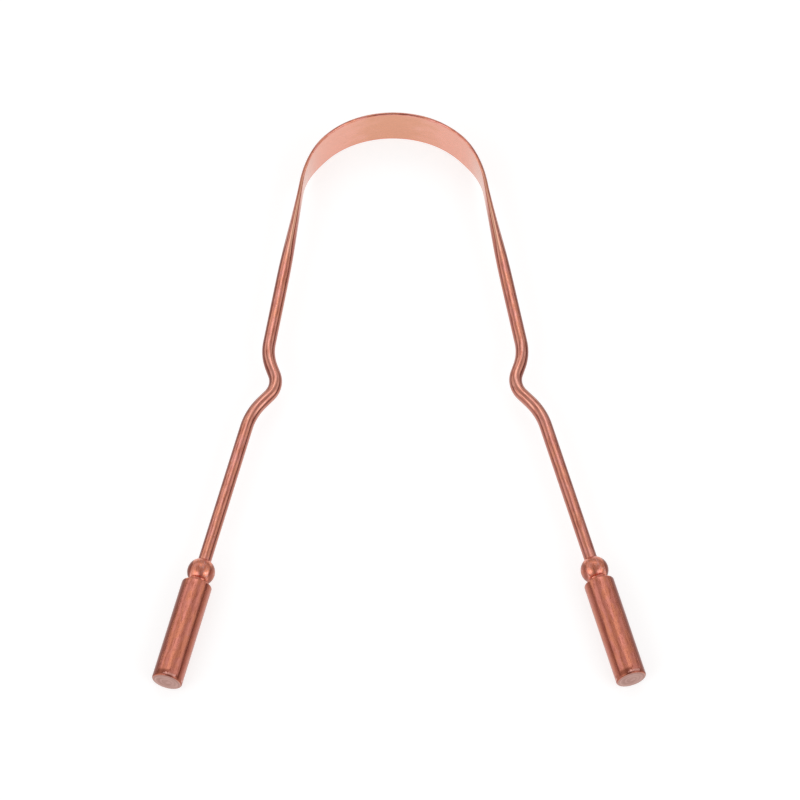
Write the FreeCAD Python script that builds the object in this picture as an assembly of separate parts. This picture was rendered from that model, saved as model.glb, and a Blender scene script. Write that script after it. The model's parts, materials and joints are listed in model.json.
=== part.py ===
"""Tongue scraper: one copper wire, rolled flat in its middle, with a turned handle on each end.

Lengths are in millimetres and angles in degrees.
The bow is drawn in its own plane: X is the span, Y runs from the handles up to the crown,
and Z is square to the plane. At the end it is tilted a little and set down on the floor,
because the flat band is wider than the handles are thick.
"""
import FreeCAD, Part
import math
import os

from FreeCAD import Placement, Rotation, Vector

# Whole tool
overall_length = 130.0  # crown's outer face to the far rims of the handles

# Wire and the band that is rolled from it
wire_diameter = 2.65
band_width = 9.6
crown_outer_radius = 22.0
crown_angle = 36.4  # the whole arc over the top, split evenly to both sides
shoulder_radius = 18.4  # centre line of the tighter arc between crown and arm
forged_taper_length = 34.0  # flat band to round wire
taper_shoulder_length = 10.6  # the part of the taper that still lies on the shoulder's arc
taper_easing_share = 0.3  # share of the taper that each soft end takes
taper_sections = 8

# Round arm, the kink for the fingertips, and the lower arm.
# Each angle is a lean outwards from straight down, and a negative one leans inwards.
upper_arm_angle = 9.92
round_arm_length = 14.5
kink_entry_radius = 11.5
kink_inward_angle = -19.0
kink_inward_straight = 1.75
kink_waist_radius = 4.9
kink_outward_angle = 42.3
kink_outward_straight = 2.15
kink_exit_radius = 13.9
lower_arm_angle = 15.0

# Turned handle: barrel, neck and ball in one piece
barrel_diameter = 6.1
barrel_length = 22.1
barrel_shoulder_chamfer = 0.45
barrel_rim_chamfer = 0.4
ball_diameter = 5.55
neck_wall = 0.45
neck_length = 0.7

# Seat of the wire in the handle
bore_depth = 12.0  # from the mouth in the ball to the end of the full bore
bore_tip_angle = 118.0
mouth_chamfer = 0.12
solder_gap = 0.03  # all round the wire
wire_end_gap = 0.25
wire_end_chamfer = 0.3

# Sizes that follow from the ones above
wire_radius = wire_diameter / 2
wire_area = math.pi * wire_radius**2
barrel_radius = barrel_diameter / 2
ball_radius = ball_diameter / 2
bore_radius = wire_radius + solder_gap
neck_radius = bore_radius + neck_wall
mouth_radius = bore_radius + mouth_chamfer
ball_centre_height = barrel_length + neck_length + math.sqrt(ball_radius**2 - neck_radius**2)
mouth_height = ball_centre_height + math.sqrt(ball_radius**2 - mouth_radius**2)
bore_end_height = mouth_height - bore_depth
wire_end_height = bore_end_height + wire_end_gap

UP = Vector(0, 0, 1)


def flattened_half_thickness(half_width):
    """Half thickness of the wire once it is rolled to a half width.

    Rolling keeps the area of the section, taken as a slot with round ends:
    area = 4 * t * (w - t) + pi * t * t, solved for t.
    """
    spread = 4 - math.pi
    return (4 * half_width - math.sqrt((4 * half_width) ** 2 - 4 * spread * wire_area)) / (2 * spread)


def flattened_half_width(half_thickness):
    """Half width of the wire once it is rolled to a half thickness, by the same area."""
    return half_thickness + (wire_area - math.pi * half_thickness**2) / (4 * half_thickness)


band_half_thickness = flattened_half_thickness(band_width / 2)
crown_radius = crown_outer_radius - band_half_thickness


def section(half_thickness, half_width, point, heading):
    """Oval section across the wire, made of two faces and two bulging edges.

    On the band the faces are flat and each edge bulges by a quarter arc, as the edge of
    rolled wire does. On the round wire all four are quarters of one circle. In between,
    the faces turn from flat to quarter arcs.
    """
    band_ratio = band_half_thickness / (band_width / 2)
    roundness = (half_thickness / half_width - band_ratio) / (1 - band_ratio)
    corner_across = half_thickness * (1 - (1 - math.cos(math.pi / 4)) * roundness)
    corner_up = half_width - corner_across * math.tan(math.pi / 8)
    across = heading.cross(UP)

    def at(side, height):
        return point + across * side + UP * height

    def face(side):
        foot = at(side * corner_across, -side * corner_up)
        middle = at(side * half_thickness, 0)
        head = at(side * corner_across, side * corner_up)
        if roundness == 0:
            return Part.LineSegment(foot, head)
        return Part.Arc(foot, middle, head)

    def edge(side):
        start = at(side * corner_across, side * corner_up)
        end = at(-side * corner_across, side * corner_up)
        return Part.Arc(start, at(0, side * half_width), end)

    return Part.Wire([curve.toShape() for curve in (face(1), edge(1), face(-1), edge(-1))])


def soft_ended(share, easing):
    """Even growth from 0 to 1 that starts and ends softly, without a crease at either end."""
    steady = 1 - easing
    if share < easing:
        return share**2 / (2 * easing * steady)
    if share > steady:
        return 1 - (1 - share) ** 2 / (2 * easing * steady)
    return (share - easing / 2) / steady


class BendingJig:
    """Carries a section along the centre line, one straight or bend after another."""

    def __init__(self, point):
        self.point = point
        self.lean = 90.0
        self.half_thickness = band_half_thickness
        self.half_width = band_width / 2
        self.is_round = False
        self.lengths = []

    @property
    def heading(self):
        """Direction of travel: straight down, leaning outwards."""
        lean = math.radians(self.lean)
        return Vector(math.sin(lean), -math.cos(lean), 0)

    def outline(self):
        """Closed wire of the section where the jig stands."""
        return section(self.half_thickness, self.half_width, self.point, self.heading)

    def cut_face(self):
        """Face of the metal where the jig stands, a plain disc once the wire is round."""
        if self.is_round:
            rim = Part.Circle(self.point, self.heading, wire_radius)
            return Part.Face(Part.Wire(rim.toShape()))
        return Part.Face(self.outline())

    def bend(self, radius, lean):
        """Turn to a new lean on an arc of the centre line, and return the metal laid down."""
        turn = self.lean - lean
        inner_side = -1 if turn < 0 else 1
        centre = self.point + self.heading.cross(UP) * (radius * inner_side)
        solid = self.cut_face().revolve(centre, UP, -turn)
        about = Rotation(UP, -turn)
        self.point = centre + about.multVec(self.point - centre)
        self.lean = lean
        self.lengths.append(radius * math.radians(abs(turn)))
        return solid

    def straight(self, length):
        """Run straight on."""
        solid = self.cut_face().extrude(self.heading * length)
        self.point = self.point + self.heading * length
        self.lengths.append(length)
        return solid

    def walk(self, length, radius, lean):
        """Go on round an inward bend, but no further than to a lean, and straight on from there."""
        turn = min(math.degrees(length / radius), self.lean - lean)
        centre = self.point + self.heading.cross(UP) * radius
        self.point = centre + Rotation(UP, -turn).multVec(self.point - centre)
        self.lean = self.lean - turn
        self.point = self.point + self.heading * (length - radius * math.radians(turn))

    def forge_to_round(self, length, radius, lean):
        """Blend the flat band into the round wire, on the last of a bend and the straight after it.

        The thickness grows at an even rate and the width follows, because the area is kept.
        """
        start_thickness = self.half_thickness
        outlines = [self.outline()]
        for step in range(1, taper_sections + 1):
            gained = soft_ended(step / taper_sections, taper_easing_share)
            self.half_thickness = start_thickness + (wire_radius - start_thickness) * gained
            self.half_width = flattened_half_width(self.half_thickness)
            self.walk(length / taper_sections, radius, lean)
            outlines.append(self.outline())
        self.is_round = True
        self.lengths.append(length)
        return Part.makeLoft(outlines, True, False)


def handle():
    """Turned handle on the Z axis: far end at the origin, ball and bore mouth at the top."""
    cone_depth = bore_radius / math.tan(math.radians(bore_tip_angle / 2))

    def at(radius, height):
        return Vector(radius, 0, height)

    neck_top = at(neck_radius, barrel_length + neck_length)
    mouth_edge = at(mouth_radius, mouth_height)
    barrel_and_neck = [
        at(0, 0),
        at(barrel_radius - barrel_rim_chamfer, 0),
        at(barrel_radius, barrel_rim_chamfer),
        at(barrel_radius, barrel_length - barrel_shoulder_chamfer),
        at(barrel_radius - barrel_shoulder_chamfer, barrel_length),
        at(neck_radius, barrel_length),
        neck_top,
    ]
    bore = [
        mouth_edge,
        at(bore_radius, mouth_height - mouth_chamfer),
        at(bore_radius, bore_end_height),
        at(0, bore_end_height - cone_depth),
        at(0, 0),
    ]
    ball = Part.Arc(neck_top, at(ball_radius, ball_centre_height), mouth_edge).toShape()
    edges = Part.makePolygon(barrel_and_neck).Edges + [ball] + Part.makePolygon(bore).Edges
    return Part.Face(Part.Wire(edges)).revolve(Vector(0, 0, 0), UP, 360)


def mirrored(shape):
    """The same piece on the other side of the tool."""
    return shape.mirror(Vector(0, 0, 0), Vector(1, 0, 0))


def one_piece(solids):
    """Fuse touching solids into a single one, without seams between even faces."""
    return solids[0].multiFuse(solids[1:]).removeSplitter().Solids[0]


# Right half of the bow, from the middle of the crown down to the lower arm
jig = BendingJig(Vector(0, overall_length / 2 - band_half_thickness, 0))
taper_start_angle = upper_arm_angle + math.degrees(taper_shoulder_length / shoulder_radius)
metal = [
    jig.bend(crown_radius, 90 - crown_angle / 2),
    jig.bend(shoulder_radius, taper_start_angle),
]
band_end = jig.point
metal += [
    jig.forge_to_round(forged_taper_length, shoulder_radius, upper_arm_angle),
    jig.straight(round_arm_length),
    jig.bend(kink_entry_radius, kink_inward_angle),
    jig.straight(kink_inward_straight),
    jig.bend(kink_waist_radius, kink_outward_angle),
    jig.straight(kink_outward_straight),
    jig.bend(kink_exit_radius, lower_arm_angle),
]

# The lower arm is as long as the tool's length leaves it, down to its seat in the handle
lower_lean = math.radians(lower_arm_angle)
rim_reach = (barrel_radius - barrel_rim_chamfer) * math.sin(lower_lean)
handle_end_y = rim_reach - overall_length / 2
to_handle_end = (jig.point.y - handle_end_y) / math.cos(lower_lean)
handle_end = jig.point + jig.heading * to_handle_end
metal.append(jig.straight(to_handle_end - wire_end_height - wire_end_chamfer))
metal.append(
    Part.makeCone(wire_radius, wire_radius - wire_end_chamfer, wire_end_chamfer, jig.point, jig.heading)
)
right_half = one_piece(metal)
scraper_bow = one_piece([right_half, mirrored(right_half)])

right_handle = handle()
right_handle.Placement = Placement(handle_end, Rotation(UP, jig.heading * -1))
left_handle = mirrored(right_handle)

# It lies on the band's lower edge, where the full width ends, and on the handles' far ends
barrel_foot = handle_end - jig.heading * barrel_rim_chamfer
rest_rise = band_width / 2 - barrel_radius
rest_tilt = math.atan2(rest_rise, band_end.y - barrel_foot.y)
rest_height = band_width / 2 * math.cos(rest_tilt) - band_end.y * math.sin(rest_tilt)
resting = Placement(UP * rest_height, Rotation(Vector(1, 0, 0), math.degrees(rest_tilt)))

os.makedirs("parts", exist_ok=True)
nodes = {"scraper_bow": scraper_bow, "left_handle": left_handle, "right_handle": right_handle}
for name, shape in nodes.items():
    placed = shape.transformed(resting.toMatrix())
    placed.exportStep("parts/" + name + ".step")
    box = placed.optimalBoundingBox(False, False)
    print(name, "valid", placed.isValid(), "solids", len(placed.Solids), "volume", round(placed.Volume, 3))
    print("  x", round(box.XMin, 3), round(box.XMax, 3), "y", round(box.YMin, 3), round(box.YMax, 3),
          "z", round(box.ZMin, 3), round(box.ZMax, 3))
print("band thickness", round(2 * band_half_thickness, 3), "tilt", round(math.degrees(rest_tilt), 3))
print("wire from handle to handle", round(2 * sum(jig.lengths), 1))
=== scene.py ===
"""Looks of the copper tongue scraper: a bow of one wire with a rolled band, and two turned handles.

Everything is in metres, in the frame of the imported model: X is the span, Y runs from the handles
up to the crown, and Z is up from the floor. The bow is drawn in its own plane and laid down by the
tilt and rise that the handles' mounts give.
"""

import json
import logging
import math
from dataclasses import dataclass, field
from enum import Enum
from typing import Any

import bpy
import numpy as np
from mathutils import Matrix


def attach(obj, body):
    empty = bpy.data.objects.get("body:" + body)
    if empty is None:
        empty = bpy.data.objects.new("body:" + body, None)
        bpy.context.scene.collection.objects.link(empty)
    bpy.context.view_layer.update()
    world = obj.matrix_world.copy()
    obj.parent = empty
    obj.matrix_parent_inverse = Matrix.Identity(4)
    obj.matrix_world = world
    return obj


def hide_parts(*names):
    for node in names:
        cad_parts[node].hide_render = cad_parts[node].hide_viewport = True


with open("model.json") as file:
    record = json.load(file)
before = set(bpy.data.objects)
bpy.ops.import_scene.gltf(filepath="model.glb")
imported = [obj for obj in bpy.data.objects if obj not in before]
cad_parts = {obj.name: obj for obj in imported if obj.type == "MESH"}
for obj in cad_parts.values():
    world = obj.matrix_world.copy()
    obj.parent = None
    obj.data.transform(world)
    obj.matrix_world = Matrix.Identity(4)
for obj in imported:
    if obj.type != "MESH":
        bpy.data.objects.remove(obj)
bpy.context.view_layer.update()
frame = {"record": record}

MILLIMETRE = 0.001
DEGREES_PER_RADIAN = 180 / math.pi
# A face bends at least this far, in radians, so that its formula never divides by zero.
SMALLEST_TURN = 1e-6
log = logging.getLogger("tongue_scraper")

Colour = tuple[float, float, float, float]
# A ramp is the pair of values between which a mask goes smoothly from 0 to 1, or from 1 to 0.
Ramp = tuple[float, float]


class Side(Enum):
    """Which handle, with the sign of its X."""

    LEFT = -1
    RIGHT = 1

    @property
    def word(self) -> str:
        """Name of the side in piece and mount names."""
        return self.name.lower()


class Value:
    """A socket inside a node graph, on which Python's operators add Math nodes."""

    def __init__(self, graph: "Graph", socket: bpy.types.NodeSocket) -> None:
        """Remember the graph and the socket."""
        self.graph = graph
        self.socket = socket

    def _math(self, operation: str, first: Any, second: Any) -> "Value":
        """Add one Math node on two values."""
        return self.graph.add("ShaderNodeMath", {"operation": operation}, {0: first, 1: second})

    def __add__(self, other: Any) -> "Value":
        """Sum."""
        return self._math("ADD", self, other)

    __radd__ = __add__

    def __sub__(self, other: Any) -> "Value":
        """Difference."""
        return self._math("SUBTRACT", self, other)

    def __rsub__(self, other: Any) -> "Value":
        """Difference from a number."""
        return self._math("SUBTRACT", other, self)

    def __mul__(self, other: Any) -> "Value":
        """Product."""
        return self._math("MULTIPLY", self, other)

    __rmul__ = __mul__

    def at_least(self, other: Any) -> "Value":
        """The larger of the two."""
        return self._math("MAXIMUM", self, other)

    def size(self) -> "Value":
        """The value without its sign."""
        return self.at_least(0 - self)

    def rise(self, ramp: Ramp) -> "Value":
        """A mask that steps smoothly from 0 below a ramp to 1 above it.

        Args:
            ramp: Where the step starts and where it ends.

        Returns:
            The mask.
        """
        low, high = ramp
        inputs = {"Value": self, "From Min": low, "From Max": high}
        return self.graph.add("ShaderNodeMapRange", {"interpolation_type": "SMOOTHSTEP"}, inputs)

    def fall(self, ramp: Ramp) -> "Value":
        """A mask that steps smoothly from 1 below a ramp to 0 above it."""
        return 1 - self.rise(ramp)


class Graph:
    """A node tree that is written as expressions."""

    def __init__(self, tree: bpy.types.NodeTree) -> None:
        """Start from an empty tree."""
        self.tree = tree
        tree.nodes.clear()

    def add(self, kind: str, settings: dict | None = None, inputs: dict | None = None,
            output: int | str = 0) -> Value | None:
        """Add a node.

        Args:
            kind: Type name of the node.
            settings: Its properties, set before the sockets.
            inputs: Numbers, colours or values for its sockets, by name or place.
            output: Which output is handed back.

        Returns:
            That output as a value, or nothing from a node that only takes.
        """
        node = self.tree.nodes.new(kind)
        for name, setting in (settings or {}).items():
            setattr(node, name, setting)
        for name, given in (inputs or {}).items():
            socket = node.inputs[name]
            if isinstance(given, Value):
                self.tree.links.new(given.socket, socket)
            else:
                socket.default_value = given
        return Value(self, node.outputs[output]) if node.outputs else None

    def attribute(self, name: str, output: str = "Vector") -> Value:
        """Read an attribute that a piece's mesh carries."""
        return self.add("ShaderNodeAttribute", {"attribute_name": name}, output=output)

    def component(self, vector: Value, axis: int) -> Value:
        """One of a vector's three components."""
        return self.add("ShaderNodeSeparateXYZ", None, {0: vector}, output=axis)

    def blend(self, factor: Value, low: Any, high: Any) -> Value:
        """Mix two colours, low at 0 and high at 1."""
        inputs = {0: factor, 6: low, 7: high}
        return self.add("ShaderNodeMix", {"data_type": "RGBA"}, inputs, output=2)

    def metal(self, paint: Value, roughness: Value, height: Value, depth: float) -> None:
        """Close the graph with a bare metal surface.

        Args:
            paint: Its colour.
            roughness: Its roughness.
            height: Its relief, from 0 to 1.
            depth: What a relief of 1 measures, in metres.
        """
        bump = self.add("ShaderNodeBump", None, {"Distance": depth, "Height": height})
        inputs = {"Base Color": paint, "Metallic": 1.0, "Roughness": roughness, "Normal": bump}
        shader = self.add("ShaderNodeBsdfPrincipled", None, inputs)
        self.add("ShaderNodeOutputMaterial", None, {"Surface": shader})


def new_material(name: str) -> tuple[bpy.types.Material, Graph]:
    """Make an empty material.

    Args:
        name: Its name.

    Returns:
        The material and its graph.
    """
    material = bpy.data.materials.new(name)
    material.use_nodes = True
    return material, Graph(material.node_tree)


def colour(red: float, green: float, blue: float) -> Colour:
    """A linear colour with full alpha."""
    return (red, green, blue, 1.0)


@dataclass(frozen=True)
class Grain:
    """Soft fractal noise, with its own number of cells per millimetre along and across."""

    along: float
    across: float
    detail: float = 2.0
    gain: float = 0.5

    def on(self, graph: Graph, place: Value) -> Value:
        """Lay the noise on a surface.

        Args:
            graph: The material's graph.
            place: Place along the grain and twice across it, in millimetres.

        Returns:
            The noise, from 0 to 1.
        """
        scale = (self.along, self.across, self.across)
        cells = graph.add("ShaderNodeVectorMath", {"operation": "MULTIPLY"}, {0: place, 1: scale})
        inputs = {"Vector": cells, "Scale": 1.0, "Detail": self.detail, "Roughness": self.gain}
        return graph.add("ShaderNodeTexNoise", {"noise_dimensions": "3D"}, inputs)


@dataclass(frozen=True)
class FlankShade:
    """Painted shade on the copper's flanks, more on the outer ones, for their dark reflections.

    The top and the underside stay clear, and the shade lifts a little at the middle of each flank.
    """

    raggedness: float = 0.16
    outer_edge: Ramp = (0.57, 0.71)
    outer_lift_ramp: Ramp = (0.88, 1.0)
    outer_lift: float = 0.45
    inner_edge: Ramp = (0.60, 0.76)
    inner_lift_ramp: Ramp = (0.84, 0.98)
    inner_lift: float = 0.5
    inner_share: float = 0.74

    def shares(self, flank: Value, streaks: Value) -> tuple[Value, Value]:
        """How much painted shade there is on the outer and on the inner side.

        Args:
            flank: 1 on the outer side, -1 on the inner side, 0 on the top and the underside.
            streaks: Noise that makes the edges of the painted shade ragged.

        Returns:
            The outer and the inner share, from 0 to 1.
        """
        ragged = (streaks - 0.5) * self.raggedness
        outwards, inwards = flank + ragged, ragged - flank
        outer_kept = 1 - outwards.rise(self.outer_lift_ramp) * self.outer_lift
        inner_kept = 1 - inwards.rise(self.inner_lift_ramp) * self.inner_lift
        outer = outwards.rise(self.outer_edge) * outer_kept
        return outer, inwards.rise(self.inner_edge) * inner_kept * self.inner_share


@dataclass(frozen=True)
class DrawnCopper:
    """Satin copper of the bow: streaked along the wire, paler where it is rolled flat.

    The ramps of worn_middle, band_end_start, kink_start and kink_end are lengths along the wire
    from the middle of the crown, in millimetres.
    """

    name: str = "drawn_copper"
    wire_orange: Colour = colour(0.81, 0.343, 0.230)
    wire_pink: Colour = colour(0.79, 0.338, 0.284)
    wire_streak: Colour = colour(0.51, 0.170, 0.116)
    # Painted highlight: bright flecks along the wire.
    wire_glint: Colour = colour(0.97, 0.57, 0.46)
    # Painted shade on the flanks, for the dark reflections at the wire's sides.
    wire_flank_shade: Colour = colour(0.235, 0.073, 0.054)
    # Painted sheen: a paler pink for the kinks and the forged taper's outer side.
    sheen_pink: Colour = colour(0.76, 0.387, 0.307)
    # Painted highlight along the crest of the forged taper.
    forged_highlight: Colour = colour(1.0, 0.58, 0.42)
    band_pink: Colour = colour(0.84, 0.42, 0.325)
    band_tan: Colour = colour(0.74, 0.36, 0.24)
    band_streak: Colour = colour(0.70, 0.33, 0.22)
    # Painted highlight: the paler colour of the band's ends.
    band_end: Colour = colour(0.79, 0.475, 0.395)

    streaks: Grain = Grain(0.35, 3.6, 3.0, 0.6)
    hairlines: Grain = Grain(0.7, 22.0, 2.0, 0.6)
    flecks: Grain = Grain(1.3, 6.0, 2.0, 0.6)
    hues: Grain = Grain(0.28, 0.6)
    blotches: Grain = Grain(0.5, 1.3)
    # Painted shade on the flanks.
    flank_shade: FlankShade = FlankShade()

    # The buffed wire: where each noise turns into a hue, a streak or a fleck of painted highlight.
    blotch_share: float = 0.6
    pink_rise: Ramp = (0.40, 0.60)
    streak_rise: Ramp = (0.44, 0.72)
    fleck_rise: Ramp = (0.58, 0.70)
    fleck_glint_share: float = 0.55

    # The band.
    worn_middle: Ramp = (2.0, 12.0)
    worn_wander: float = 14.0
    brushed_rise: Ramp = (0.5, 0.85)
    # Where the painted pale highlight at the band's ends starts.
    band_end_start: Ramp = (17.0, 24.0)

    # The kinks: a paler pink painted on as sheen, and a lower roughness.
    kink_start: Ramp = (61.0, 68.0)
    kink_end: Ramp = (82.0, 90.0)
    kink_sheen: float = 0.6

    # The forged taper, whose ramps go by how far the wire is rolled or by the flank.
    flat_face_start: Ramp = (0.35, 0.75)
    forged_start: Ramp = (0.02, 0.2)
    forged_end: Ramp = (0.75, 0.95)
    # Painted sheen on the outer side of the forged taper.
    forged_outer_side: Ramp = (0.1, 0.5)
    forged_sheen: float = 0.8
    # Less painted flank shade on the forged taper, drawn in from both sides.
    forged_shade_cut: float = 0.45
    shade_draw: float = 0.7
    # Where the painted highlight sits across the forged taper's edge.
    crest_shift: float = 0.3
    crest_width: Ramp = (0.25, 0.65)
    # Where the painted flank shade fades on the band's faces.
    outer_shade_fade: Ramp = (0.1, 0.85)
    inner_shade_fade: Ramp = (0.5, 1.0)

    # The surface.
    roughness: float = 0.19
    hairline_roughness: float = 0.12
    band_dullness: float = 0.08
    forged_gloss: float = 0.11
    kink_gloss: float = 0.04
    streak_depth: float = 0.0034 * MILLIMETRE
    streak_relief: float = 0.6

    def wire_colour(self, graph: Graph, grain: Value, hues: Value, streaks: Value,
                    painted_sheen: Value) -> Value:
        """Colour of the buffed wire: two hues in blotches, then dark streaks and bright flecks.

        The bright flecks are painted highlights, and a paler pink is painted on as sheen.

        Args:
            graph: The material's graph.
            grain: Place along the wire and twice across it, in millimetres.
            hues: The slowest noise.
            streaks: The noise of the drawing streaks.
            painted_sheen: How much paler pink is painted on as sheen at the kinks and on the forged
                taper's outer side, from 0 to 1.

        Returns:
            The colour.
        """
        mixed = hues * (1 - self.blotch_share) + self.blotches.on(graph, grain) * self.blotch_share
        clean = graph.blend(mixed.rise(self.pink_rise), self.wire_orange, self.wire_pink)
        # Painted sheen: a paler pink at the kinks and on the forged taper's outer side.
        clean = graph.blend(painted_sheen, clean, self.sheen_pink)
        buffed = graph.blend(streaks.rise(self.streak_rise), clean, self.wire_streak)
        # Painted highlight: sparse bright flecks.
        flecks = self.flecks.on(graph, grain).rise(self.fleck_rise) * self.fleck_glint_share
        return graph.blend(flecks, buffed, self.wire_glint)

    def band_colour(self, graph: Graph, from_crown: Value, hues: Value, streaks: Value,
                    hairlines: Value) -> Value:
        """Colour of the band: worn tan at the middle, pink beside it, and a painted pale highlight
        at its ends.

        Args:
            graph: The material's graph.
            from_crown: Length along the wire from the middle of the crown, in millimetres.
            hues: The slowest noise.
            streaks: The noise of the drawing streaks.
            hairlines: The finest noise.

        Returns:
            The colour.
        """
        worn = (from_crown + (hues - 0.5) * self.worn_wander).fall(self.worn_middle)
        band = graph.blend(worn, self.band_pink, self.band_tan)
        brushed = (hairlines * 0.5 + streaks * 0.5).rise(self.brushed_rise)
        band = graph.blend(brushed, band, self.band_streak)
        # Painted highlight: the band turns paler towards its ends.
        return graph.blend(from_crown.rise(self.band_end_start), band, self.band_end)

    def build(self) -> bpy.types.Material:
        """Make the material.

        On the forged taper the painted flank shade is drawn in from both sides, and a highlight is
        painted along the crest.

        Returns:
            The material, which reads the attributes grain (length along the wire from the crown,
            place across its thickness and its width, in millimetres), rolled (1 on the band, 0 on
            the wire), face (1 on the two faces, 0 on the two edges) and flank (1 on the outer side
            of the wire, -1 on its inner side).
        """
        material, graph = new_material(self.name)
        grain = graph.attribute("grain")
        rolled, face, flank = (graph.attribute(name, "Fac") for name in ("rolled", "face", "flank"))
        from_crown = graph.component(grain, 0).size()
        hues = self.hues.on(graph, grain)
        streaks = self.streaks.on(graph, grain)
        hairlines = self.hairlines.on(graph, grain)

        flat_face = face * rolled.rise(self.flat_face_start)
        forged = (1 - face) * rolled.rise(self.forged_start) * rolled.fall(self.forged_end)
        kink = from_crown.rise(self.kink_start) * from_crown.fall(self.kink_end)
        # Painted sheen, on the kinks and on the outer side of the forged taper.
        forged_side = forged * flank.rise(self.forged_outer_side) * self.forged_sheen
        painted_sheen = (kink * self.kink_sheen).at_least(forged_side)
        drawn_in = flank * (1 + forged * self.shade_draw)
        # Painted highlight along the forged taper's edge.
        crest = (drawn_in + self.crest_shift).size().fall(self.crest_width)

        buffed = self.wire_colour(graph, grain, hues, streaks, painted_sheen)
        wire = graph.blend(forged * crest, buffed, self.forged_highlight)
        band = self.band_colour(graph, from_crown, hues, streaks, hairlines)
        # Painted flank shade, less on the band's faces and on the forged taper.
        outer, inner = self.flank_shade.shares(drawn_in, streaks)
        outer = outer * (1 - face * rolled.rise(self.outer_shade_fade)) * (1 - forged * self.forged_shade_cut)
        inner = inner * rolled.fall(self.inner_shade_fade) * (1 - flat_face)
        satin = (hairlines - 0.5) * self.hairline_roughness + self.roughness
        graph.metal(
            paint=graph.blend(outer + inner, graph.blend(flat_face, wire, band), self.wire_flank_shade),
            roughness=satin + flat_face * self.band_dullness - forged * self.forged_gloss
            - kink * self.kink_gloss,
            height=streaks * self.streak_relief + hairlines * (1 - self.streak_relief),
            depth=self.streak_depth,
        )
        return material


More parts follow.
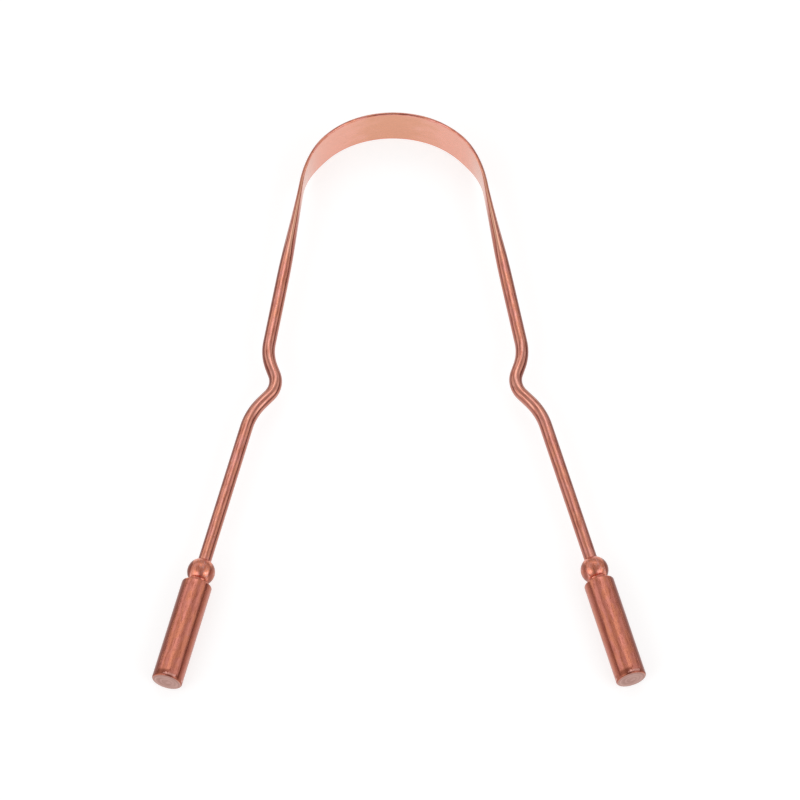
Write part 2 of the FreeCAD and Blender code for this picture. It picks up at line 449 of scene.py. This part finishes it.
@dataclass(frozen=True)
class TurnedCopper:
    """Satin copper of the handles: fine lathe rings under lengthwise buffing, and a duller end.

    The ramps of rim_start, rim_end, glint_start and glint_end are lengths along the profile from
    the middle of the flat end, in millimetres, and lie on the rim and just above it.
    """

    name: str = "turned_copper"
    side_orange: Colour = colour(0.79, 0.296, 0.184)
    side_pink: Colour = colour(0.79, 0.298, 0.230)
    side_streak: Colour = colour(0.48, 0.140, 0.088)
    # Painted highlight: bright flecks and glints.
    side_glint: Colour = colour(0.90, 0.51, 0.45)
    # Painted shade on the flanks and in a ring on the rim.
    side_flank_shade: Colour = colour(0.228, 0.057, 0.035)
    end_colour: Colour = colour(0.55, 0.33, 0.285)
    end_streak: Colour = colour(0.41, 0.215, 0.18)

    rings: Grain = Grain(7.0, 0.15, 3.0, 0.6)
    streaks: Grain = Grain(0.4, 4.2, 3.0, 0.6)
    flecks: Grain = Grain(1.6, 4.5, 2.0, 0.6)
    hues: Grain = Grain(0.35, 0.9)
    facing: Grain = Grain(2.4, 0.12, 3.0, 0.6)
    # Painted shade on the flanks.
    flank_shade: FlankShade = FlankShade()

    # The buffed side, with more streaks and flecks of painted highlight on the ball, and the faced
    # end.
    pink_rise: Ramp = (0.40, 0.60)
    streak_rise: Ramp = (0.46, 0.68)
    streak_share: float = 0.95
    tone_fleck_share: float = 0.4
    ball_streaks: float = 0.01
    fleck_rise: Ramp = (0.62, 0.74)
    fleck_glint_share: float = 0.6
    ball_flecks: float = 0.07
    ball_glint_share: float = 0.3
    facing_rise: Ramp = (0.38, 0.62)

    # A ring of painted shade on the rim, with small painted glints in it.
    rim_start: Ramp = (2.55, 2.66)
    rim_end: Ramp = (3.6, 4.3)
    rim_shade: float = 0.75
    glint_rise: Ramp = (0.52, 0.58)
    glint_start: Ramp = (2.85, 3.0)
    glint_end: Ramp = (3.25, 3.5)
    glint_share: float = 0.7

    # The surface.
    roughness: float = 0.28
    ball_roughness: float = 0.33
    fleck_roughness: float = 0.2
    ball_fleck_roughness: float = 0.06
    end_dullness: float = 0.08
    ring_depth: float = 0.0032 * MILLIMETRE
    ring_relief: float = 0.3
    streak_relief: float = 0.4

    def side_colour(self, graph: Graph, lathe: Value, streaks: Value, flecks: Value,
                    ball: Value, flank: Value) -> Value:
        """Colour of the turned side: two hues, streaks and flecks, shaded flanks and rim.

        The flecks and glints are painted highlights, and the flanks and the ring on the rim get
        painted shade.

        Args:
            graph: The material's graph.
            lathe: Length along the profile and place round the axis, in millimetres.
            streaks: The noise of the lengthwise buffing.
            flecks: A shorter noise of the same width.
            ball: 1 on the ball.
            flank: 1 on the outer side, -1 on the inner side.

        Returns:
            The colour.
        """
        length = graph.component(lathe, 0)
        hues = self.hues.on(graph, lathe)
        mixed = streaks * (1 - self.tone_fleck_share) + flecks * self.tone_fleck_share
        tone = (mixed + ball * self.ball_streaks).rise(self.streak_rise) * self.streak_share
        clean = graph.blend(hues.rise(self.pink_rise), self.side_orange, self.side_pink)
        buffed = graph.blend(tone, clean, self.side_streak)
        # Glints: painted highlights just above the rim.
        glints = hues.rise(self.glint_rise) * length.rise(self.glint_start)
        # Painted highlight: bright flecks, more on the ball, and the glints.
        bright = (flecks + ball * self.ball_flecks).rise(self.fleck_rise)
        bright = bright * (self.fleck_glint_share + ball * self.ball_glint_share)
        bright = bright.at_least(glints * length.fall(self.glint_end) * self.glint_share)
        # Painted shade: a ring on the rim, broken by the glints.
        rim = length.rise(self.rim_start) * length.fall(self.rim_end)
        # Painted shade on the outer and inner flanks.
        outer, inner = self.flank_shade.shares(flank, streaks)
        painted_shade = (outer + inner).at_least(rim * (1 - glints) * self.rim_shade)
        return graph.blend(painted_shade, graph.blend(bright, buffed, self.side_glint), self.side_flank_shade)

    def build(self) -> bpy.types.Material:
        """Make the material.

        Returns:
            The material, which reads the attributes lathe (length along the profile and the place
            round the axis, in millimetres), faced (1 on the flat end, 0 elsewhere), ball (1 on
            the ball) and flank (1 on the outer side, -1 on the inner side).
        """
        material, graph = new_material(self.name)
        lathe = graph.attribute("lathe")
        faced, ball, flank = (graph.attribute(name, "Fac") for name in ("faced", "ball", "flank"))
        rings = self.rings.on(graph, lathe)
        streaks = self.streaks.on(graph, lathe)
        flecks = self.flecks.on(graph, lathe)
        facing = self.facing.on(graph, lathe)
        side = self.side_colour(graph, lathe, streaks, flecks, ball, flank)
        end = graph.blend(facing.rise(self.facing_rise), self.end_colour, self.end_streak)
        smoothed = self.fleck_roughness - self.ball_fleck_roughness
        unevenness = self.fleck_roughness - ball * smoothed
        satin = self.roughness - ball * (self.roughness - self.ball_roughness)
        fleck_relief = 1 - self.ring_relief - self.streak_relief
        graph.metal(
            paint=graph.blend(faced, side, end),
            roughness=(flecks - 0.5) * unevenness + faced * self.end_dullness + satin,
            height=rings * self.ring_relief + streaks * self.streak_relief + flecks * fleck_relief,
            depth=self.ring_depth,
        )
        return material


def piece_from_grid(name: str, points: np.ndarray) -> bpy.types.Object:
    """Skin a grid of rings into a closed, smooth-shaded piece.

    Each point and the next on its ring make a four-sided face with the same two of the next ring.
    A vertex in the middle of the first and of the last ring closes that end with triangles.

    Args:
        name: Name of the piece.
        points: Rings by points by 3. Each ring closes on itself.

    Returns:
        The new object, at the origin, with its vertices ring by ring and then the two middles.
    """
    rings, around = points.shape[:2]
    index = np.arange(rings * around).reshape(rings, around)
    here, there = index[:-1], index[1:]
    quads = np.stack([here, np.roll(here, -1, 1), np.roll(there, -1, 1), there], -1).reshape(-1, 4)
    first, last = rings * around, rings * around + 1
    start = np.stack([np.roll(index[0], -1), index[0], np.full(around, first)], -1)
    end = np.stack([index[-1], np.roll(index[-1], -1), np.full(around, last)], -1)
    vertices = np.vstack([points.reshape(-1, 3), points[[0, -1]].mean(1)])
    faces = quads.tolist() + start.tolist() + end.tolist()
    mesh = bpy.data.meshes.new(name)
    mesh.from_pydata(vertices.tolist(), [], faces)
    mesh.polygons.foreach_set("use_smooth", np.ones(len(faces), bool))
    mesh.update()
    piece = bpy.data.objects.new(name, mesh)
    bpy.context.scene.collection.objects.link(piece)
    return piece


def store(piece: bpy.types.Object, name: str, values: np.ndarray) -> None:
    """Give each vertex of a piece a number or a vector.

    Args:
        piece: The piece.
        name: Name that its material reads.
        values: One number or one row of three for each vertex.
    """
    kind, key = ("FLOAT", "value") if values.ndim == 1 else ("FLOAT_VECTOR", "vector")
    attribute = piece.data.attributes.new(name, kind, "POINT")
    attribute.data.foreach_set(key, values.astype(np.float32).ravel())


@dataclass(frozen=True)
class Resting:
    """How the bow's plane lies: turned about X by the tilt and raised off the floor."""

    tilt: float
    rise: float

    @classmethod
    def from_mount(cls, mount: dict, lean: float) -> "Resting":
        """Work the tilt and rise out from the end of a handle.

        Args:
            mount: The handle end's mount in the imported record.
            lean: Lean of the lower arm in the bow's plane.

        Returns:
            The resting place: the tilt gives the axis its fall, and the rise its height.
        """
        tilt = math.asin(-mount["axis"][2] / math.cos(lean))
        along = mount["pos_m"][1] / math.cos(tilt)
        return cls(tilt, mount["pos_m"][2] - along * math.sin(tilt))

    def lay(self, points: np.ndarray) -> np.ndarray:
        """Turn points of the bow's plane about X by the tilt, then raise them.

        Args:
            points: Points, with X, Y and Z on the last axis.

        Returns:
            The points in the model's frame.
        """
        x, y, z = np.moveaxis(points, -1, 0)
        cosine, sine = math.cos(self.tilt), math.sin(self.tilt)
        return np.stack([x, y * cosine - z * sine, y * sine + z * cosine + self.rise], -1)


@dataclass(frozen=True)
class Bow:
    """The bent wire with its rolled band."""

    overall_length: float = 130.0 * MILLIMETRE
    wire_diameter: float = 2.65 * MILLIMETRE
    band_width: float = 9.6 * MILLIMETRE
    crown_outer_radius: float = 22.0 * MILLIMETRE
    crown_angle: float = math.radians(36.4)
    shoulder_radius: float = 18.4 * MILLIMETRE
    forged_taper_length: float = 34.0 * MILLIMETRE
    taper_shoulder_length: float = 10.6 * MILLIMETRE
    taper_easing_share: float = 0.3
    upper_arm_angle: float = math.radians(9.92)
    round_arm_length: float = 14.5 * MILLIMETRE
    kink_entry_radius: float = 11.5 * MILLIMETRE
    kink_inward_angle: float = math.radians(-19.0)
    kink_inward_straight: float = 1.75 * MILLIMETRE
    kink_waist_radius: float = 4.9 * MILLIMETRE
    kink_outward_angle: float = math.radians(42.3)
    kink_outward_straight: float = 2.15 * MILLIMETRE
    kink_exit_radius: float = 13.9 * MILLIMETRE
    lower_arm_angle: float = math.radians(15.0)
    station_length: float = 0.7 * MILLIMETRE
    station_turn: float = math.radians(2.5)
    points_per_quarter: int = 14

    @property
    def area(self) -> float:
        """Area of the wire's section, which rolling keeps."""
        return math.pi * (self.wire_diameter / 2) ** 2

    @property
    def flat(self) -> float:
        """Half thickness t of the band.

        With half its width w, the slot's area 4 t (w - t) + pi t t is the wire's.

        Returns:
            The smaller root of that equation in t.
        """
        wide = self.band_width / 2
        spread = 4 - math.pi
        root = math.sqrt((4 * wide) ** 2 - 4 * spread * self.area)
        return (4 * wide - root) / (2 * spread)

    def half_width(self, thick: np.ndarray) -> np.ndarray:
        """Half width t + (area - pi t t) / (4 t) that keeps the area at a half thickness t."""
        return thick + (self.area - math.pi * thick**2) / (4 * thick)

    def runs(self, lower_arm: float) -> list[tuple[float, float]]:
        """Length and turn of each stretch of the right half, from the crown down.

        Args:
            lower_arm: Length of the last straight.

        Returns:
            Pairs of length and turn, where a turn towards the handles is negative.
        """
        crown_lean = math.pi / 2 - self.crown_angle / 2
        bends = [
            (self.crown_outer_radius - self.flat, math.pi / 2, crown_lean),
            (self.shoulder_radius, crown_lean, self.upper_arm_angle),
            (self.kink_entry_radius, self.upper_arm_angle, self.kink_inward_angle),
            (self.kink_waist_radius, self.kink_inward_angle, self.kink_outward_angle),
            (self.kink_exit_radius, self.kink_outward_angle, self.lower_arm_angle),
        ]
        arcs = [(radius * abs(end - start), end - start) for radius, start, end in bends]
        return [
            arcs[0],
            arcs[1],
            (self.forged_taper_length - self.taper_shoulder_length, 0.0),
            (self.round_arm_length, 0.0),
            arcs[2],
            (self.kink_inward_straight, 0.0),
            arcs[3],
            (self.kink_outward_straight, 0.0),
            arcs[4],
            (lower_arm, 0.0),
        ]

    def half_line(self, lower_arm: float) -> tuple[np.ndarray, np.ndarray, np.ndarray]:
        """Centre line of the right half.

        Each step of length d that turns by a goes sin(a / 2) / (a / 2) of d along its middle
        direction, which is exact on an arc and on a straight.

        Args:
            lower_arm: Length of the last straight.

        Returns:
            Length run, lean from straight down, and X and Y, at each station.
        """
        steps, turns = [], []
        for length, turn in self.runs(lower_arm):
            by_length = math.ceil(length / self.station_length)
            count = max(1, by_length, math.ceil(abs(turn) / self.station_turn))
            steps.append(np.full(count, length / count))
            turns.append(np.full(count, turn / count))
        step, turn = np.concatenate(steps), np.concatenate(turns)
        lean = math.pi / 2 + np.concatenate([[0.0], np.cumsum(turn)])
        middle = (lean[:-1] + lean[1:]) / 2
        reach = step * np.sinc(turn / 2 / math.pi)
        top = self.overall_length / 2 - self.flat
        x = np.concatenate([[0.0], np.cumsum(reach * np.sin(middle))])
        y = top - np.concatenate([[0.0], np.cumsum(reach * np.cos(middle))])
        return np.concatenate([[0.0], np.cumsum(step)]), lean, np.stack([x, y], -1)

    def rolled_share(self, length: np.ndarray) -> np.ndarray:
        """How far the wire is rolled flat, falling evenly over the forged taper.

        The taper starts on the last of the shoulder. With u along it and a the easing share, the
        fall is (u - a / 2) / (1 - a) between the soft ends, and a parabola in each of them.

        Args:
            length: Length along the wire from the middle of the crown, with either sign.

        Returns:
            1 on the band and 0 on the round wire.
        """
        band_end = sum(run for run, _ in self.runs(0.0)[:2]) - self.taper_shoulder_length
        easing = self.taper_easing_share
        steady = 1 - easing
        share = np.clip((np.abs(length) - band_end) / self.forged_taper_length, 0.0, 1.0)
        start = share**2 / (2 * easing * steady)
        end = 1 - (1 - share) ** 2 / (2 * easing * steady)
        fallen = np.where(share < easing, start, (share - easing / 2) / steady)
        return 1.0 - np.where(share > steady, end, fallen)

    def outline(self, thick: np.ndarray, wide: np.ndarray) -> np.ndarray:
        """Section at every station: two faces and two edges, tangent to each other.

        The edges are arcs of one radius about points on the width line. The faces are arcs that
        turn by an angle a to each side of their middle: 0 on the band, where they are flat, and
        an eighth of a circle on the round wire. With h the tangent of a / 2, t the half thickness
        and w the half width, the radius of the edges is (t - w h) / (1 - h).

        Args:
            thick: Half thickness at each station.
            wide: Half width at each station.

        Returns:
            Stations by points by 2: place across the thickness and across the width.
        """
        ratio = self.flat / (self.band_width / 2)
        roundness = np.clip((thick / wide - ratio) / (1 - ratio), 0.0, 1.0)
        half_tangent = math.tan(math.pi / 8) * roundness
        turn = (2 * np.arctan(half_tangent))[:, None]
        radius = ((thick - wide * half_tangent) / (1 - half_tangent))[:, None]
        corner = wide[:, None] - radius + radius * np.sin(turn)
        share = np.linspace(-1.0, 1.0, 2 * self.points_per_quarter, endpoint=False)[None, :]
        angle = math.pi / 2 + share * (math.pi / 2 - turn)
        across, along = radius * np.cos(angle), radius * np.sin(angle)
        edge = np.stack([across, wide[:, None] - radius + along], -1)
        bent = np.maximum(turn, SMALLEST_TURN)
        up = -corner * np.sin(share * bent) / np.sin(bent)
        curve = np.sin(bent) / corner
        sag = curve * up**2 / (1 + np.sqrt(1 - (curve * up) ** 2))
        face = np.stack([-(thick[:, None] - sag), up], -1)
        return np.concatenate([edge, face, -edge, -face], 1)

    def build(self, resting: Resting, handle_end: tuple[float, float],
              wire_end: float) -> bpy.types.Object:
        """Make the bow: the section of each station, set on the centre line.

        A point of the section goes its place across the thickness along (cos, sin) of the lean,
        which points outwards, and its place across the width up. Then the plane is laid down.
        The left half mirrors the right one. The flank is the place across the thickness over the
        half thickness.

        Args:
            resting: How its plane lies.
            handle_end: X and Y of the handle's far end in the bow's plane.
            wire_end: Height above the handle's far end at which the wire ends.

        Returns:
            The piece, with the attributes grain, rolled, flank and face.
        """
        exit_point = self.half_line(0.0)[2][-1]
        lower_arm = math.dist(exit_point, handle_end) - wire_end
        length, lean, line = self.half_line(lower_arm)
        length = np.concatenate([-length[:0:-1], length])
        lean = np.concatenate([math.pi - lean[:0:-1], lean])
        line = np.concatenate([line[:0:-1] * (-1, 1), line])
        rolled = self.rolled_share(length)
        thick = self.wire_diameter / 2 + (self.flat - self.wire_diameter / 2) * rolled
        wide = self.half_width(thick)
        section = self.outline(thick, wide)
        outward = np.stack([np.cos(lean), np.sin(lean)], -1)[:, None, :]
        plane = line[:, None, :] + outward * section[..., :1]
        points = resting.lay(np.concatenate([plane, section[..., 1:]], -1))
        piece = piece_from_grid("copper_bow", points)
        along = np.broadcast_to(length[:, None, None], section.shape[:2] + (1,))
        grain = np.concatenate([along, section], -1).reshape(-1, 3)
        ends = np.array([[length[0], 0, 0], [length[-1], 0, 0]])
        store(piece, "grain", np.vstack([grain, ends]) / MILLIMETRE)
        around = section.shape[1]
        store(piece, "rolled", np.concatenate([np.repeat(rolled, around), rolled[[0, -1]]]))
        side = (section[..., 0] / thick[:, None]).ravel()
        store(piece, "flank", np.concatenate([side, [0.0, 0.0]]))
        per_run = around // 4
        on_face = np.arange(around) % (2 * per_run) > per_run
        face = np.broadcast_to(on_face.astype(float), section.shape[:2]).ravel()
        store(piece, "face", np.concatenate([face, [0.0, 0.0]]))
        return piece


@dataclass(frozen=True)
class Handle:
    """A turned handle: barrel, neck and ball in one, bored for the wire."""

    barrel_diameter: float = 6.1 * MILLIMETRE
    barrel_length: float = 22.1 * MILLIMETRE
    shoulder_rounding: float = 0.45 * MILLIMETRE
    rim_rounding: float = 0.4 * MILLIMETRE
    ball_diameter: float = 5.55 * MILLIMETRE
    neck_radius: float = 1.805 * MILLIMETRE
    neck_length: float = 0.7 * MILLIMETRE
    bore_radius: float = 1.355 * MILLIMETRE
    bore_depth: float = 12.0 * MILLIMETRE
    mouth_rounding: float = 0.12 * MILLIMETRE
    wire_end_gap: float = 0.25 * MILLIMETRE
    drill_angle: float = math.radians(118.0)
    faced_rim_share: float = 0.125
    points_around: int = 128
    points_per_arc: int = 12
    ball_points: int = 60
    end_points: int = 8
    barrel_points: int = 30
    ledge_points: int = 2
    bore_points: int = 6
    drill_points: int = 3

    @property
    def ball_centre(self) -> float:
        """Height of the ball's middle above the far end, where its sphere meets the neck."""
        neck_top = self.barrel_length + self.neck_length
        return neck_top + math.sqrt((self.ball_diameter / 2) ** 2 - self.neck_radius**2)

    @property
    def mouth(self) -> float:
        """Height of the bore's mouth."""
        mouth_radius = self.bore_radius + self.mouth_rounding
        return self.ball_centre + math.sqrt((self.ball_diameter / 2) ** 2 - mouth_radius**2)

    @property
    def wire_end(self) -> float:
        """Height at which the wire ends in the bore."""
        return self.mouth - self.bore_depth + self.wire_end_gap

    @staticmethod
    def arc(radius: float, middle: tuple[float, float], start: float, end: float,
            count: int) -> np.ndarray:
        """Arc of the profile about a middle, between two angles from the radial direction."""
        angle = np.linspace(start, end, count)
        return np.array(middle) + radius * np.stack([np.cos(angle), np.sin(angle)], -1)

    @staticmethod
    def straight(start: tuple[float, float], end: tuple[float, float], count: int) -> np.ndarray:
        """Straight of the profile, without its two ends."""
        share = np.linspace(0.0, 1.0, count + 2)[1:-1, None]
        return np.array(start) * (1 - share) + np.array(end) * share

    def profile(self) -> np.ndarray:
        """Outline of half the handle, from the middle of the far end to the drill's tip.

        Returns:
            Points by 2: radius and height, over the rim, the shoulder, the ball and the mouth.
        """
        barrel = self.barrel_diameter / 2
        ball = self.ball_diameter / 2
        rim, shoulder = self.rim_rounding, self.shoulder_rounding
        quarter = math.pi / 2
        neck_angle = -math.acos(self.neck_radius / ball)
        mouth_angle = math.acos((self.bore_radius + self.mouth_rounding) / ball)
        bore_end = self.mouth - self.bore_depth
        tip = bore_end - self.bore_radius / math.tan(self.drill_angle / 2)
        rim_middle = (barrel - rim, rim)
        shoulder_middle = (barrel - shoulder, self.barrel_length - shoulder)
        shoulder_top = (barrel - shoulder, self.barrel_length)
        neck_foot = (self.neck_radius, self.barrel_length)
        ball_middle = (0.0, self.ball_centre)
        mouth_middle = (self.bore_radius + self.mouth_rounding, self.mouth - self.mouth_rounding)
        bore_top, bore_foot = (self.bore_radius, mouth_middle[1]), (self.bore_radius, bore_end)
        half_arc = self.points_per_arc // 2
        return np.vstack([
            self.straight((0.0, 0.0), (barrel - rim, 0.0), self.end_points),
            self.arc(rim, rim_middle, -quarter, 0.0, self.points_per_arc),
            self.straight((barrel, rim), (barrel, shoulder_middle[1]), self.barrel_points),
            self.arc(shoulder, shoulder_middle, 0.0, quarter, self.points_per_arc),
            self.straight(shoulder_top, neck_foot, self.ledge_points),
            np.array([neck_foot]),
            self.arc(ball, ball_middle, neck_angle, mouth_angle, self.ball_points),
            self.arc(self.mouth_rounding, mouth_middle, quarter, math.pi, half_arc),
            self.straight(bore_top, bore_foot, self.bore_points),
            np.array([bore_foot]),
            self.straight(bore_foot, (0.0, tip), self.drill_points),
        ])

    def build(self, side: Side, mount: dict) -> bpy.types.Object:
        """Make one handle: the profile turned about the mount's axis.

        A point of the profile goes its height up the axis, and its radius along the sum of
        cos(angle) of the direction across and sin(angle) of the direction over. The flank is
        cos(angle), positive on the outer side, times the radial share of the profile's normal.

        Args:
            side: Left or right.
            mount: The mount on its far end, with its place and its axis out of the handle.

        Returns:
            The piece, with the attributes lathe, faced, ball and flank.
        """
        profile = self.profile()
        angle = np.arange(self.points_around) * (2 * math.pi / self.points_around)
        upward = -np.array(mount["axis"])
        upward /= np.linalg.norm(upward)
        across = np.cross(upward, (0.0, 0.0, 1.0))
        across /= np.linalg.norm(across)
        over = np.cross(upward, across)
        ring = np.cos(angle)[:, None] * across + np.sin(angle)[:, None] * over
        outwards, upwards = profile[:, None, :1] * ring, profile[:, None, 1:] * upward
        points = np.array(mount["pos_m"]) + outwards + upwards
        piece = piece_from_grid("turned_handle_" + side.word, points)
        run = np.concatenate([[0.0], np.cumsum(np.linalg.norm(np.diff(profile, axis=0), axis=1))])
        radius = self.barrel_diameter / 2
        lathe = np.stack(np.broadcast_arrays(
            run[:, None], radius * np.cos(angle), radius * np.sin(angle)), -1).reshape(-1, 3)
        ends = np.array([[run[0], 0, 0], [run[-1], 0, 0]])
        store(piece, "lathe", np.vstack([lathe, ends]) / MILLIMETRE)
        on_face = (profile[:, 1] < self.rim_rounding * self.faced_rim_share).astype(float)
        store(piece, "faced", np.concatenate([np.repeat(on_face, self.points_around), [1.0, 0.0]]))
        on_ball = (profile[:, 1] > self.barrel_length + self.neck_length / 2).astype(float)
        store(piece, "ball", np.concatenate([np.repeat(on_ball, self.points_around), [0.0, 1.0]]))
        slope = np.gradient(profile, axis=0)
        outwardness = slope[:, 1] / np.linalg.norm(slope, axis=1)
        outer = side.value * np.cos(angle) * np.sign(across[0]) * outwardness[:, None]
        store(piece, "flank", np.concatenate([outer.ravel(), [0.0, 0.0]]))
        return piece


class Wall(Enum):
    """Where a panel hangs: on one side of the room, with the sign of its X, or on both."""

    LEFT = -1
    RIGHT = 1
    BOTH = 0


@dataclass(frozen=True)
class Panel:
    """A soft lit panel of the room.

    It runs between two azimuths from straight behind the tool and two elevations, in degrees,
    and fades out over the feather on each side. On both walls the azimuth has no sign.
    """

    wall: Wall
    azimuth: tuple[float, float]
    elevation: tuple[float, float]
    feather: float
    glow: Colour

    def cover(self, azimuth: Value, elevation: Value) -> Value:
        """How much of a direction the panel covers: the product of a smooth step at each side.

        Args:
            azimuth: Azimuth of the direction, positive to the right.
            elevation: Its elevation.

        Returns:
            1 inside the panel, 0 outside.
        """
        turned = azimuth.size() if self.wall is Wall.BOTH else azimuth * self.wall.value
        half = self.feather / 2
        sides = []
        for angle, (low, high) in ((turned, self.azimuth), (elevation, self.elevation)):
            sides.append(angle.rise((low - half, low + half)))
            sides.append(angle.fall((high - half, high + half)))
        return sides[0] * sides[1] * sides[2] * sides[3]


@dataclass(frozen=True)
class Studio:
    """White floor under a room with soft panels behind the tool and at both sides."""

    floor_half_size: float = 3.0
    floor_paint: Colour = colour(0.45, 0.48, 0.49)
    floor_glow: float = 0.72
    belt: Colour = colour(0.22, 0.15, 0.13)
    dome: Colour = colour(0.43, 0.355, 0.33)
    dome_start: Ramp = (5.0, 35.0)
    panels: tuple[Panel, ...] = (
        Panel(Wall.BOTH, (-60, 34), (-2, 66), 18, colour(0.52, 0.47, 0.45)),
        Panel(Wall.BOTH, (-60, 39), (36, 60), 16, colour(0.98, 0.93, 0.92)),
        Panel(Wall.BOTH, (-60, 21), (44, 74), 10, colour(0.92, 0.87, 0.86)),
        Panel(Wall.BOTH, (44, 112), (60, 92), 12, colour(0.53, 0.45, 0.42)),
        Panel(Wall.LEFT, (34, 84), (13, 38), 14, colour(0.88, 0.82, 0.81)),
        Panel(Wall.LEFT, (62, 84), (-1, 16), 14, colour(0.66, 0.61, 0.60)),
        Panel(Wall.RIGHT, (34, 84), (15, 38), 14, colour(0.62, 0.57, 0.56)),
        Panel(Wall.BOTH, (60, 90), (29, 50), 16, colour(0.80, 0.75, 0.74)),
        Panel(Wall.BOTH, (90, 152), (14, 48), 18, colour(1.35, 1.33, 1.33)),
        Panel(Wall.BOTH, (118, 148), (20, 46), 12, colour(2.2, 2.2, 2.2)),
        Panel(Wall.LEFT, (92, 128), (1, 24), 14, colour(1.3, 1.26, 1.25)),
        Panel(Wall.BOTH, (-60, 20), (54.5, 59.5), 5, colour(2.05, 2.02, 2.0)),
        Panel(Wall.BOTH, (162, 200), (-5, 82), 16, colour(0.28, 0.22, 0.20)),
    )

    @staticmethod
    def seen_directly(graph: Graph) -> Value:
        """Tell rays that show the floor from rays that only carry soft light.

        Args:
            graph: The floor's graph.

        Returns:
            1 for rays from the camera, off a glossy surface or through glass, 0 for soft light.
        """
        names = ("Is Camera Ray", "Is Glossy Ray", "Is Transmission Ray")
        camera, glossy, through = (graph.add("ShaderNodeLightPath", output=name) for name in names)
        return camera.at_least(glossy).at_least(through)

    def floor(self) -> None:
        """White floor that keeps the tool's shadow: soft paint, and a glow on top of it."""
        half = self.floor_half_size
        corners = [(-half, -half, 0.0), (half, -half, 0.0), (half, half, 0.0), (-half, half, 0.0)]
        mesh = bpy.data.meshes.new("floor")
        mesh.from_pydata(corners, [], [(0, 1, 2, 3)])
        floor = bpy.data.objects.new("floor", mesh)
        bpy.context.scene.collection.objects.link(floor)
        material, graph = new_material("white_floor")
        paint = graph.add("ShaderNodeBsdfDiffuse", None, {"Color": self.floor_paint})
        strength = self.seen_directly(graph) * self.floor_glow
        white = {"Color": colour(1, 1, 1), "Strength": strength}
        glow = graph.add("ShaderNodeEmission", None, white)
        both = graph.add("ShaderNodeAddShader", None, {0: paint, 1: glow})
        graph.add("ShaderNodeOutputMaterial", None, {"Surface": both})
        floor.data.materials.append(material)

    def room(self) -> None:
        """World: a dark belt at the height of the tool, a pale dome above it, and the panels."""
        world = bpy.data.worlds.new("room")
        world.use_nodes = True
        bpy.context.scene.world = world
        graph = Graph(world.node_tree)
        direction = graph.add("ShaderNodeTexCoord", output="Generated")
        x, y, z = (graph.component(direction, axis) for axis in range(3))
        azimuth = graph.add("ShaderNodeMath", {"operation": "ARCTAN2"}, {0: x, 1: y})
        elevation = graph.add("ShaderNodeMath", {"operation": "ARCSINE"}, {0: z})
        azimuth, elevation = azimuth * DEGREES_PER_RADIAN, elevation * DEGREES_PER_RADIAN
        shown = graph.blend(elevation.rise(self.dome_start), self.belt, self.dome)
        for panel in self.panels:
            shown = graph.blend(panel.cover(azimuth, elevation), shown, panel.glow)
        background = graph.add("ShaderNodeBackground", None, {"Color": shown, "Strength": 1.0})
        graph.add("ShaderNodeOutputWorld", None, {"Surface": background})

    def build(self) -> None:
        """Make the floor and the room, and keep plain colours."""
        self.floor()
        self.room()
        bpy.context.scene.view_settings.view_transform = "Standard"


@dataclass(frozen=True)
class PhotoCamera:
    """The photograph's view: from the handles' side, looking down."""

    lens: float = 189.0
    sensor: float = 36.0
    elevation: float = math.radians(60.0)
    yaw: float = math.radians(-1.6655)
    roll: float = math.radians(1.1901)
    distance: float = 856.07 * MILLIMETRE
    aim: tuple[float, float, float] = (
        0.898 * MILLIMETRE, 0.8065 * MILLIMETRE, 0.051 * MILLIMETRE)

    def build(self) -> None:
        """Make the camera: turned about Z by the yaw, tipped by the elevation, then rolled."""
        data = bpy.data.cameras.new("camera")
        data.lens, data.sensor_width = self.lens, self.sensor
        camera = bpy.data.objects.new("camera", data)
        bpy.context.scene.collection.objects.link(camera)
        turn = Matrix.Rotation(self.yaw, 4, "Z")
        tip = Matrix.Rotation(math.pi / 2 - self.elevation, 4, "X")
        camera.matrix_world = (
            Matrix.Translation(self.aim) @ turn @ tip
            @ Matrix.Rotation(self.roll, 4, "Z") @ Matrix.Translation((0, 0, self.distance))
        )
        bpy.context.scene.camera = camera


@dataclass
class Scraper:
    """The whole tool."""

    bow: Bow = field(default_factory=Bow)
    handle: Handle = field(default_factory=Handle)

    def build(self, record: dict) -> None:
        """Build and dress every piece.

        Args:
            record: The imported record, for the mounts on the handles' far ends.
        """
        mounts = {mount["name"]: mount for mount in record["mounts"]}
        right_end = mounts["right_grip_end"]
        resting = Resting.from_mount(right_end, self.bow.lower_arm_angle)
        end_x, end_y = right_end["pos_m"][0], right_end["pos_m"][1] / math.cos(resting.tilt)
        bow = self.bow.build(resting, (end_x, end_y), self.handle.wire_end)
        self.dress(bow, DrawnCopper().build(), "scraper_bow")
        turned = TurnedCopper().build()
        for side in Side:
            piece = self.handle.build(side, mounts[side.word + "_grip_end"])
            self.dress(piece, turned, side.word + "_handle")

    def dress(self, piece: bpy.types.Object, material: bpy.types.Material, node: str) -> None:
        """Give a piece its finish and its place in the model.

        Args:
            piece: The piece.
            material: Its finish.
            node: CAD node that it replaces.
        """
        piece.data.materials.append(material)
        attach(piece, "root")
        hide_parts(node)
        log.info("%s: %d faces, for %s", piece.name, len(piece.data.polygons), node)


def main() -> None:
    """Build the tool, the studio and the camera."""
    logging.basicConfig(level=logging.INFO, format="%(name)s: %(message)s")
    Scraper().build(frame["record"])
    Studio().build()
    PhotoCamera().build()
    bpy.context.view_layer.update()


if __name__ == "__main__":
    main()
